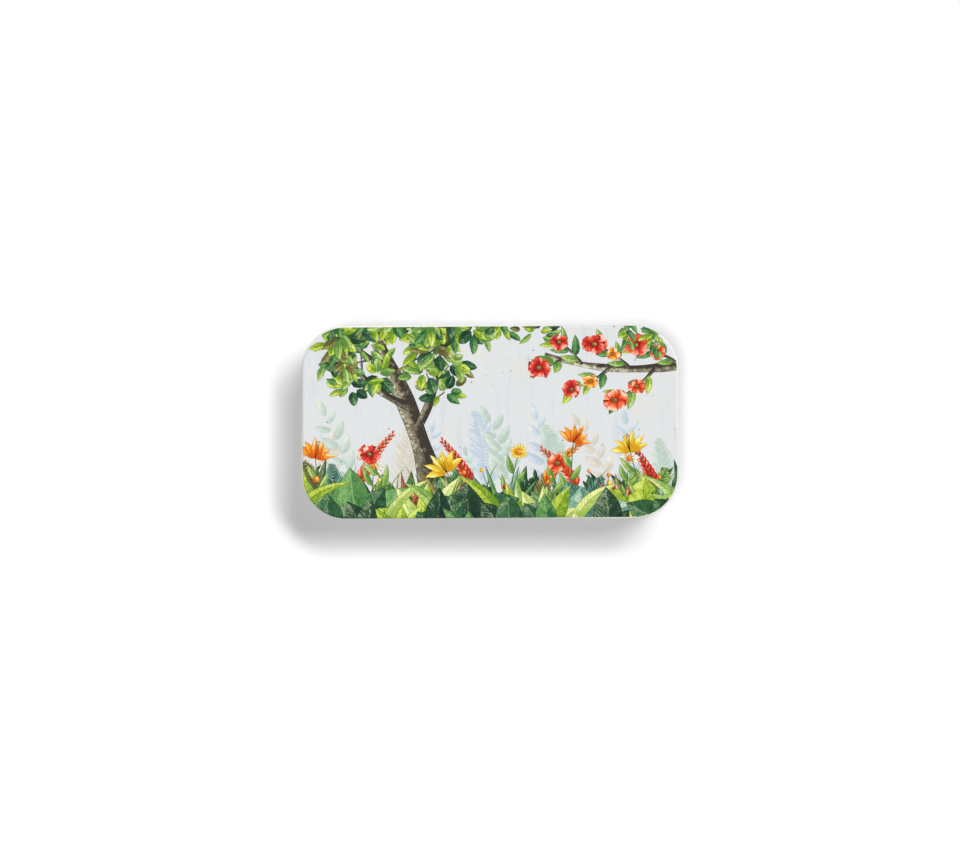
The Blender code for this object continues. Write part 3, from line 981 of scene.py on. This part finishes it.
def lacquer_finish():
    """Plain pale lacquer, on the folded hem and the lid's knuckles."""
    f = Finish("plain lacquer")
    clouds = f.noise(f.place(), 500.0, 3.0, 0.6)
    f.set(base_color=f.mix(clouds, paint(222, 225, 224), paint(234, 235, 232)))
    f.set(roughness=f.band(clouds, 0.3, 0.7, 0.34, 0.44))
    return f.material


def tinplate_finish():
    """Bright rolled tinplate: fine grain along the sheet, faint cloudy tin and a few hairline scuffs.

    The grain runs along the tin, and up the end walls, as it does in a tray drawn from one sheet.
    """
    f = Finish("tinplate")
    x, y, z = f.add("SeparateXYZ", {0: f.place()}).outputs
    facing = f.add("SeparateXYZ", {0: f.add("NewGeometry").outputs["Normal"]}).outputs[0]
    rise = f.band(f.math("ABSOLUTE", facing), 0.25, 0.85, 1.0, 0.02)
    length, height = f.times(x, 0.02), f.times(z, rise)
    grain = f.noise(f.vector(length, y, height), 2600.0, 3.0, 0.65)
    clouds = f.noise(f.place(), 70.0, 3.0, 0.5)

    def hairlines(slope, low):
        leaning = f.sum(y, f.times(x, slope))
        lines = f.noise(f.vector(length, leaning, f.sum(height, f.times(x, slope / 2))), 5200.0, 1.0, 0.4)
        return f.band(lines, low, low + 0.03)

    scuffed = f.math("MAXIMUM", hairlines(0.06, 0.79), hairlines(-0.11, 0.8))
    shade = f.math("ADD", f.times(clouds, 0.4), f.times(grain, 0.6))
    f.set(base_color=f.mix(shade, paint(176, 178, 180), paint(206, 207, 207)))
    f.set(metallic=1.0)
    tinned = f.band(clouds, 0.3, 0.7, 0.22, 0.27)
    f.set(roughness=f.sum(tinned, f.times(grain, 0.09), f.times(scuffed, 0.1)))
    f.bump(f.sum(grain, f.times(scuffed, 0.5)), 0.1, 0.01 * MM)
    return f.material


def wire_finish():
    """Drawn steel wire."""
    f = Finish("steel wire")
    lines = f.noise(f.place((0.04, 1.0, 1.0)), 14000.0, 2.0, 0.5)
    f.set(base_color=f.mix(lines, paint(168, 168, 170), paint(206, 206, 208)))
    f.set(metallic=1.0, roughness=f.band(lines, 0.3, 0.7, 0.22, 0.34))
    f.bump(lines, 0.2, 0.01 * MM)
    return f.material


def rubber_finish():
    """Magnetic rubber sheet: dark, matte, with calender lines, dust and the scratches of needle points."""
    f = Finish("magnetic rubber")
    lines = f.noise(f.place((0.03, 1.0, 1.0)), 2400.0, 3.0, 0.6)
    dust = f.noise(f.place(), 2600.0, 4.0, 0.8)
    specks = f.band(dust, 0.66, 0.72)
    x, y = f.add("SeparateXYZ", {0: f.place()}).outputs[:2]

    def needle_marks(slope, low):
        """Hairline scratches that lean a little off the sheet's length."""
        marks = f.noise(f.vector(f.times(x, 0.022), f.sum(y, f.times(x, slope))), 3600.0, 1.0, 0.4)
        return f.band(marks, low, low + 0.03)

    scratched = f.math("MAXIMUM", needle_marks(0.09, 0.75), needle_marks(-0.16, 0.76))
    scratched = f.math("MAXIMUM", scratched, needle_marks(0.3, 0.78))
    base = f.mix(f.band(lines, 0.2, 0.8), paint(46, 43, 40), paint(64, 60, 55))
    marks = f.math("MAXIMUM", f.times(specks, 0.4), f.times(scratched, 0.45))
    f.set(base_color=f.mix(marks, base, paint(134, 128, 118)))
    f.set(roughness=f.band(lines, 0.2, 0.8, 0.6, 0.72))
    f.bump(f.sum(f.times(lines, 0.6), f.times(dust, 0.7), f.times(scratched, -0.6)), 0.2, 0.03 * MM)
    return f.material


def hem_section():
    """The lid from the foot of its skirt: round the folded hem, up inside, and in to the underside.

    Also how many of its points belong to the fold.
    """
    centre = (HEM_RADIUS, HEM_BOTTOM + HEM_RADIUS)
    fold = arc(centre, HEM_RADIUS, math.pi, math.pi, ROLL_STEPS)
    hem_top = HEM_BOTTOM + HEM_HEIGHT
    free_centre = (HEM_THICKNESS - HEM_EDGE_RADIUS, hem_top - HEM_EDGE_RADIUS)
    free_edge = arc(free_centre, HEM_EDGE_RADIUS, 0, math.pi / 2, HEM_EDGE_STEPS)
    roll_centre = (EDGE_ROLL, TIN_HEIGHT - EDGE_ROLL)
    inside = arc(roll_centre, EDGE_ROLL - SHEET, math.pi, -math.pi / 2, ROLL_STEPS)
    start = [(SHEET, hem_top + HEM_EDGE_RISE)]
    fold = supported(fold)
    return fold + supported(free_edge + start + inside), len(fold)


def lay_flat(mesh, flat, faces):
    """A UV map: the unrolled outside in the middle, and the inside in a strip beside it."""
    corner = np.zeros(len(mesh.loops), int)
    mesh.loops.foreach_get("vertex_index", corner)
    places = np.zeros(3 * len(mesh.vertices))
    mesh.vertices.foreach_get("co", places)
    places = places.reshape(-1, 3)[corner]
    spread_out = 0.5 + flat[faces.ravel()] / SHEET_SPAN
    halves = np.array([LID_HALF_LENGTH, LID_HALF_WIDTH])
    strip_shares = np.array([STRIP_LENGTH_SHARE, STRIP_WIDTH_SHARE])
    inside = STRIP_MARGIN_SHARE + strip_shares * (places[:, :2] / halves + 1) / 2
    inside[:len(spread_out)] = spread_out
    layer = mesh.uv_layers.new(name="OFBake")
    layer.data.foreach_set("uv", inside.ravel())


def write_print(mesh, place, dark, light):
    """Stores what the shader reads at the corners of the printed faces, and zeros past them."""
    spare = len(mesh.loops) - len(place)
    for name, kind, values, field in (("print_place", "FLOAT_VECTOR", place, "vector"),
                                      ("print_dark", "FLOAT_COLOR", dark, "color"),
                                      ("print_light", "FLOAT_COLOR", light, "color")):
        whole = np.vstack([values, np.zeros((spare, values.shape[1]))]).astype(np.float32)
        mesh.attributes.new(name, kind, "CORNER").data.foreach_set(field, whole.ravel())


def build_lid(printed, lacquer, tinplate):
    washes = pattern()
    flat, faces, tops = cut_outside(washes)
    places, normals = wrapped(flat)

    # The hem and the inside are lofted on from the outside's border
    ring = ring_frame((LID_HALF_LENGTH, LID_HALF_WIDTH), LID_CORNER_RADIUS)
    border = [int(np.abs(flat - point).sum(1).argmin()) for point in loop_at(SKIRT_END)]
    section, fold_count = hem_section()
    inner = sweep(ring, LID_CORNER_RADIUS, section[1:])
    count, rows = len(border), len(section)
    first = len(flat) - count
    quads = [tuple(border[i - first] if i < len(flat) else i for i in quad)
             for quad in sweep_faces(count, rows, first)]

    mesh = bpy.data.meshes.new("lid")
    mesh.from_pydata(np.vstack([places, inner]).tolist(), [], faces.tolist() + quads)
    folded = count * (fold_count - 1)
    slots = [0] * len(faces) + [1] * folded + [2] * (len(quads) - folded)
    mesh.polygons.foreach_set("material_index", slots)
    lay_flat(mesh, flat, faces)
    write_print(mesh, *ink_values(flat, faces, tops, washes))
    mesh.shade_smooth()
    obj = new_object("lid", mesh, printed, lacquer, tinplate)
    shading = np.array([v.normal for v in mesh.vertices])
    shading[:len(normals)] = normals
    mesh.normals_split_custom_set_from_vertices(shading.tolist())
    return obj


def pocket_depth(x, z):
    """How far the base's back wall is dented in at a place, to make room for the hinges."""
    depth = BASE_HALF[1] - POCKET_FLOOR_Y
    share = 0.0
    for side in (-1, 1):
        in_x = (POCKET_HALF_WIDTH + POCKET_FLARE - abs(x - side * HINGE_SPACING / 2)) / POCKET_FLARE
        in_z = (POCKET_HALF_HEIGHT + POCKET_FLARE - abs(z - AXIS.z)) / POCKET_FLARE
        part = min(max(in_x, 0), 1), min(max(in_z, 0), 1)
        eased = [s * s * (3 - 2 * s) for s in part]
        share = max(share, eased[0] * eased[1])
    return depth * share


def spread(low, high, count=POCKET_STEPS):
    """Evenly spaced values from low to high."""
    return [low + (high - low) * step / count for step in range(count + 1)]


def base_section():
    """From the flat of the underside, out over the foot, up the wall, round the rim and down inside."""
    quarter = math.pi / 2
    bead = []
    for step in range(BEAD_STEPS + 1):
        share = step / BEAD_STEPS
        rise = BEAD_DEPTH * math.sin(math.pi * share) ** 1.5
        bead.append((BEAD_INSET + BEAD_WIDTH * (1 - share), rise))
    foot = arc((FOOT_RADIUS, FOOT_RADIUS), FOOT_RADIUS, -quarter, -quarter, ROLL_STEPS)
    heights = spread(AXIS.z - POCKET_HALF_HEIGHT - POCKET_FLARE, AXIS.z - POCKET_HALF_HEIGHT)
    heights += spread(AXIS.z + POCKET_HALF_HEIGHT, AXIS.z + POCKET_HALF_HEIGHT + POCKET_FLARE)
    outer_wall = [(0, z) for z in heights]
    inner_wall = [(SHEET, z) for z in reversed(heights)]
    centre = (RIM_CURL, RIM_TOP - RIM_CURL)
    end = -math.acos((SHEET - RIM_CURL) / RIM_CURL)
    curl = arc(centre, RIM_CURL, math.pi, end - math.pi, RIM_STEPS)
    inner_foot = arc((FOOT_RADIUS, FOOT_RADIUS), FOOT_RADIUS - SHEET, math.pi, quarter, ROLL_STEPS)
    inner_bead = [(inset, rise + SHEET) for inset, rise in reversed(bead)]
    centre_inset = BEAD_INSET + BEAD_WIDTH + FLAT_MARGIN
    start, finish = [(centre_inset, 0)], [(centre_inset, SHEET)]
    return supported(start + bead + foot + outer_wall + curl + inner_wall + inner_foot + inner_bead + finish)


def build_base(tinplate):
    reach = POCKET_HALF_WIDTH + POCKET_FLARE
    places = []
    for side in (-1, 1):
        x = side * HINGE_SPACING / 2
        places += spread(x - reach, x - POCKET_HALF_WIDTH) + spread(x + POCKET_HALF_WIDTH, x + reach)
    ring = ring_frame(BASE_HALF, BASE_CORNER_RADIUS, places)
    section = base_section()
    vertices = sweep(ring, BASE_CORNER_RADIUS, section)
    count = len(ring)
    back_wall = np.flatnonzero(ring[:, 3] > FACES_BACK)
    for row, (inset, height) in enumerate(section):
        if inset > SHEET + SUPPORT / 10 or not FOOT_RADIUS < height < RIM_TOP - RIM_CURL * 1.2:
            continue
        for here in back_wall:
            vertices[row * count + here, 1] -= pocket_depth(vertices[row * count + here, 0], height)
    faces = sweep_faces(count, len(section))
    faces.append(tuple(range(count)))
    mesh = bpy.data.meshes.new("base")
    mesh.from_pydata(vertices.tolist(), [], faces)
    outwards(mesh)
    mesh.shade_smooth()
    return new_object("base", mesh, tinplate)


def build_magnet(rubber):
    low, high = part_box("magnetic_sheet")
    half = (high.x, high.y)
    radius = BASE_CORNER_RADIUS - (BASE_HALF[0] - high.x)
    edge = MAGNET_EDGE
    lower = arc((edge, low.z + edge), edge, -math.pi / 2, -math.pi / 2, SMALL_EDGE_STEPS)
    upper = arc((edge, high.z - edge), edge, math.pi, -math.pi / 2, SMALL_EDGE_STEPS)
    inner = edge + FLAT_MARGIN
    section = supported([(inner, low.z)] + lower + upper + [(inner, high.z)])
    ring = ring_frame(half, radius)
    mesh = bpy.data.meshes.new("magnet")
    faces = sweep_faces(len(ring), len(section)) + [tuple(range(len(ring)))]
    mesh.from_pydata(sweep(ring, radius, section).tolist(), [], faces)
    outwards(mesh)
    mesh.shade_smooth()
    return new_object("magnet", mesh, rubber)


def build_pin(name, side, wire):
    """A cut length of wire with slightly rounded ends."""
    low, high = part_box(f"hinge_pin_{side}")
    end = (low.x, PIN_RADIUS - PIN_EDGE)
    shoulder = (low.x + PIN_EDGE * 0.3, PIN_RADIUS - PIN_EDGE * 0.3)
    stations = [end, shoulder, (low.x + PIN_EDGE, PIN_RADIUS)]
    stations += [(low.x + high.x - x, radius) for x, radius in reversed(stations)]
    turns = [math.tau * step / PIN_STEPS for step in range(PIN_STEPS)]
    bm = bmesh.new()
    rings = []
    for x, radius in stations:
        circle = [(x, AXIS.y + radius * math.cos(t), AXIS.z + radius * math.sin(t)) for t in turns]
        rings.append([bm.verts.new(place) for place in circle])
    for one, other in zip(rings, rings[1:]):
        for here in range(PIN_STEPS):
            after = (here + 1) % PIN_STEPS
            bm.faces.new((one[here], one[after], other[after], other[here]))
    bm.faces.new(rings[0])
    bm.faces.new(rings[-1])
    bmesh.ops.recalc_face_normals(bm, faces=bm.faces)
    mesh = bpy.data.meshes.new(name)
    bm.to_mesh(mesh)
    bm.free()
    mesh.shade_smooth()
    mesh.set_sharp_from_angle(angle=SHARP_ANGLE)
    return new_object(name, mesh, wire)


class ShapeTree(Nodes):
    """A Geometry Nodes tree with named inputs."""

    def __init__(self, name, sizes):
        super().__init__(bpy.data.node_groups.new(name, "GeometryNodeTree"))
        face = self.tree.interface
        self.sizes = sizes
        self.sockets = {}
        for label, value in sizes.items():
            kind = "NodeSocketInt" if isinstance(value, int) else "NodeSocketFloat"
            self.sockets[label] = face.new_socket(label, in_out="INPUT", socket_type=kind)
        face.new_socket("Geometry", in_out="OUTPUT", socket_type="NodeSocketGeometry")
        self.entry = self.node("NodeGroupInput")
        self.exit = self.node("NodeGroupOutput")

    def size(self, label):
        return self.entry.outputs[label]

    def add(self, kind, inputs=None, **settings):
        return self.node("GeometryNode" + kind, inputs, **settings).outputs[0]

    def row(self, count, gap):
        """Points along X, centred on the middle."""
        first = self.math("MULTIPLY", self.math("MULTIPLY", self.math("SUBTRACT", count, 1.0), gap), -0.5)
        inputs = {"Count": count, "Start Location": self.vector(first, 0.0), "Offset": self.vector(gap, 0.0)}
        return self.add("MeshLine", inputs)

    def copied(self, item, count, gap):
        return self.add("InstanceOnPoints", {"Points": self.row(count, gap), "Instance": item})

    def built(self, name, geometry, finish):
        """Realizes the geometry, gives it its finish, and returns it as a plain mesh object."""
        real = self.add("RealizeInstances", {0: geometry})
        done = self.add("SetMaterial", {"Geometry": real, "Material": finish})
        self.feed(self.exit.inputs[0], done)
        holder = new_object(name + "_maker", bpy.data.meshes.new(name + "_maker"))
        modifier = holder.modifiers.new("maker", "NODES")
        modifier.node_group = self.tree
        for label, value in self.sizes.items():
            modifier[self.sockets[label].identifier] = value
        evaluated = holder.evaluated_get(bpy.context.evaluated_depsgraph_get())
        mesh = bpy.data.meshes.new_from_object(evaluated)
        holder.modifiers.clear()
        bpy.data.objects.remove(holder)
        mesh.name = name
        return new_object(name, mesh)


def curl_path(t):
    """A line of sheet seen from the side: a flat strip, then a curl round the hinge's axis."""
    size = t.size
    line = t.add("CurvePrimitiveLine")
    points = t.add("ResampleCurve", {"Curve": line, "Count": size("Curl Points")})
    index = t.add("InputIndex")
    last = t.math("SUBTRACT", size("Curl Points"), 2.0)
    share = t.math("MAXIMUM", t.math("DIVIDE", t.math("SUBTRACT", index, 1.0), last), 0.0)
    turn = t.math("MULTIPLY_ADD", share, size("Curl Sweep"), size("Curl Start"))
    cosine, sine = t.math("COSINE", turn), t.math("SINE", turn)
    flat = t.math("LESS_THAN", index, 0.5)
    back = t.math("MULTIPLY", t.math("MULTIPLY", flat, size("Strip")), t.math("SIGN", size("Curl Sweep")))
    y = t.math("ADD", t.math("MULTIPLY", cosine, size("Curl Radius")), t.math("MULTIPLY", back, sine))
    z = t.math("SUBTRACT", t.math("MULTIPLY", sine, size("Curl Radius")), t.math("MULTIPLY", back, cosine))
    place = t.vector(0.0, t.math("ADD", y, size("Axis Y")), t.math("ADD", z, size("Axis Z")))
    path = t.add("SetPosition", {"Geometry": points, "Position": place})
    return t.add("SetCurveNormal", {"Curve": path, "Normal": (1, 0, 0)}, mode="FREE")


def build_knuckles(name, finish, start, strip, width, pair_gap, each_hinge):
    """Knuckles curled from sheet, alike on both hinges.

    start is the curl's first angle and strip the length of flat sheet before it. The knuckles of
    one hinge lie pair_gap apart.
    """
    way = 1.0 if start < 0 else -1.0
    sizes = {"Curl Radius": (BORE_RADIUS + KNUCKLE_RADIUS) / 2, "Curl Start": start,
             "Curl Sweep": way * CURL_SWEEP, "Curl Points": CURL_POINTS, "Strip": strip, "Sheet": SHEET,
             "Width": width, "Knuckle Gap": pair_gap, "Knuckles": each_hinge,
             "Hinge Gap": HINGE_SPACING, "Hinges": 2, "Axis Y": AXIS.y, "Axis Z": AXIS.z}
    t = ShapeTree(name, sizes)
    profile = t.add("CurvePrimitiveQuadrilateral", {"Width": t.size("Width"), "Height": t.size("Sheet")})
    knuckle = t.add("CurveToMesh", {"Curve": curl_path(t), "Profile Curve": profile, "Fill Caps": True})
    hinge = t.copied(knuckle, t.size("Knuckles"), t.size("Knuckle Gap"))
    both = t.copied(hinge, t.size("Hinges"), t.size("Hinge Gap"))
    obj = t.built(name, both, finish)
    outwards(obj.data)
    obj.data.shade_smooth()
    obj.data.set_sharp_from_angle(angle=SHARP_ANGLE)
    return obj


# Camera: straight above, where the photograph's own frame shows the tin
FRAME_WIDTH = 960
FRAME_HEIGHT = 854
TIN_WIDTH_PIXELS = 376.8
TIN_CENTRE_PIXELS = (489.9, 422.0)
LENS = 150
SENSOR = 36
CLIP_RANGE = 100

# The key lamp is a wide box, in parts along its length: (azimuth, elevation, share of its strength)
KEY_STRENGTH = 2.11
KEY_PARTS = ((119, 57, 0.32), (138, 55, 0.36), (157, 55.5, 0.32))
KEY_PART_SPREAD = 12

# Other lamps: azimuth, elevation, how wide each looks, and strength
KEY_GLINT = (138, 55, 16, 0.32)
SIDE_FILL = (-63, 80, 15, 1.04)
FRONT_FILL = (-28, 60, 30, 0.18)
DOME_STRENGTH = 0.08
DOME_IN_METAL = 0.55

# Floor
FLOOR_REACH = 3.0
FLOOR_PAINT = (0.9, 0.9, 0.9, 1)
FLOOR_ROUGHNESS = 0.9
FLOOR_GLOW = 0.035


def build_camera():
    pixel = 2 * LID_HALF_LENGTH / TIN_WIDTH_PIXELS
    distance = FRAME_WIDTH * pixel * LENS / SENSOR
    camera = bpy.data.objects.new("camera", bpy.data.cameras.new("camera"))
    camera.data.lens = LENS
    camera.data.sensor_width = SENSOR
    camera.data.clip_start = distance / CLIP_RANGE
    camera.data.clip_end = distance * CLIP_RANGE
    across = (FRAME_WIDTH / 2 - TIN_CENTRE_PIXELS[0]) * pixel
    up = (TIN_CENTRE_PIXELS[1] - FRAME_HEIGHT / 2) * pixel
    camera.location = (across, up, TIN_HEIGHT + distance)
    bpy.context.scene.collection.objects.link(camera)
    bpy.context.scene.camera = camera


def lamp(name, azimuth, elevation, spread_angle, strength, glossy=False):
    """A distant soft lamp. Azimuth 0 is at the front, 90 to the right. Metal shows only a glossy one."""
    light = bpy.data.objects.new(name, bpy.data.lights.new(name, "SUN"))
    light.data.energy = strength
    light.data.angle = math.radians(spread_angle)
    a, e = math.radians(azimuth), math.radians(elevation)
    away = Vector((math.sin(a) * math.cos(e), -math.cos(a) * math.cos(e), math.sin(e)))
    light.rotation_euler = away.to_track_quat("Z", "Y").to_euler()
    light.location = away
    light.visible_glossy = glossy
    bpy.context.scene.collection.objects.link(light)


def build_lights():
    """A wide key lamp from behind right, soft fills from the left and the front, and a dim pale dome.

    Only a small part of the key shows in shiny surfaces. The dome looks brighter in metal than it
    lights, and white to the camera.
    """
    for number, (azimuth, elevation, share) in enumerate(KEY_PARTS):
        lamp(f"key {number}", azimuth, elevation, KEY_PART_SPREAD, KEY_STRENGTH * share)
    lamp("key glint", *KEY_GLINT, glossy=True)
    lamp("side fill", *SIDE_FILL)
    lamp("front fill", *FRONT_FILL)
    world = bpy.data.worlds.new("studio")
    world.use_nodes = True
    dome = Nodes(world.node_tree)
    rays = dome.node("ShaderNodeLightPath").outputs
    strength = DOME_STRENGTH
    for ray, seen in (("Is Camera Ray", 1.0), ("Is Glossy Ray", DOME_IN_METAL)):
        strength = dome.math("MULTIPLY_ADD", rays[ray], seen - DOME_STRENGTH, strength)
    background = dome.tree.nodes["Background"]
    dome.feed(background.inputs["Color"], (1, 1, 1, 1))
    dome.feed(background.inputs["Strength"], strength)
    bpy.context.scene.world = world


def build_floor():
    """A pale floor that the camera sees as white, with the tin's shadow on it."""
    f = Finish("floor")
    f.set(base_color=FLOOR_PAINT, roughness=FLOOR_ROUGHNESS)
    f.shader.inputs["Specular IOR Level"].default_value = 0.0
    rays = f.add("LightPath").outputs
    seen = f.math("MAXIMUM", rays["Is Camera Ray"], rays["Is Glossy Ray"])
    seen = f.math("MAXIMUM", seen, rays["Is Transmission Ray"])
    f.set(emission_color=(1, 1, 1, 1), emission_strength=f.times(seen, FLOOR_GLOW))
    mesh = bpy.data.meshes.new("floor")
    corners = [(x * FLOOR_REACH, y * FLOOR_REACH, 0) for x, y in CORNER_SIDES]
    mesh.from_pydata(corners, [], [(0, 1, 2, 3)])
    new_object("floor", mesh, f.material)


def main():
    build_camera()
    build_lights()
    build_floor()
    printed, lacquer, tinplate = printed_finish(), lacquer_finish(), tinplate_finish()
    wire, rubber = wire_finish(), rubber_finish()

    lid = build_lid(printed, lacquer, tinplate)
    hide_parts("lid_shell")
    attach(lid, "lid")
    strip = HEM_BOTTOM + HEM_THICKNESS - AXIS.z
    lid_knuckles = build_knuckles("lid_knuckles", lacquer, 0.0, strip, LID_KNUCKLE_WIDTH, 0.0, 1)
    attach(lid_knuckles, "lid")

    base = build_base(tinplate)
    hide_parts("base_shell")
    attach(base, "base")
    strip = AXIS.y - POCKET_FLOOR_Y + SHEET / 2
    pair = LID_KNUCKLE_WIDTH + 2 * KNUCKLE_SIDE_GAP + BASE_KNUCKLE_WIDTH
    base_knuckles = build_knuckles("base_knuckles", tinplate, -math.pi / 2, strip, BASE_KNUCKLE_WIDTH,
                                   pair, 2)
    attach(base_knuckles, "base")

    for side in ("left", "right"):
        pin = build_pin(f"hinge_wire_{side}", side, wire)
        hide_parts(f"hinge_pin_{side}")
        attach(pin, "base")
    magnet = build_magnet(rubber)
    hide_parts("magnetic_sheet")
    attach(magnet, "base")
    bpy.context.scene.view_settings.view_transform = "Standard"


main()
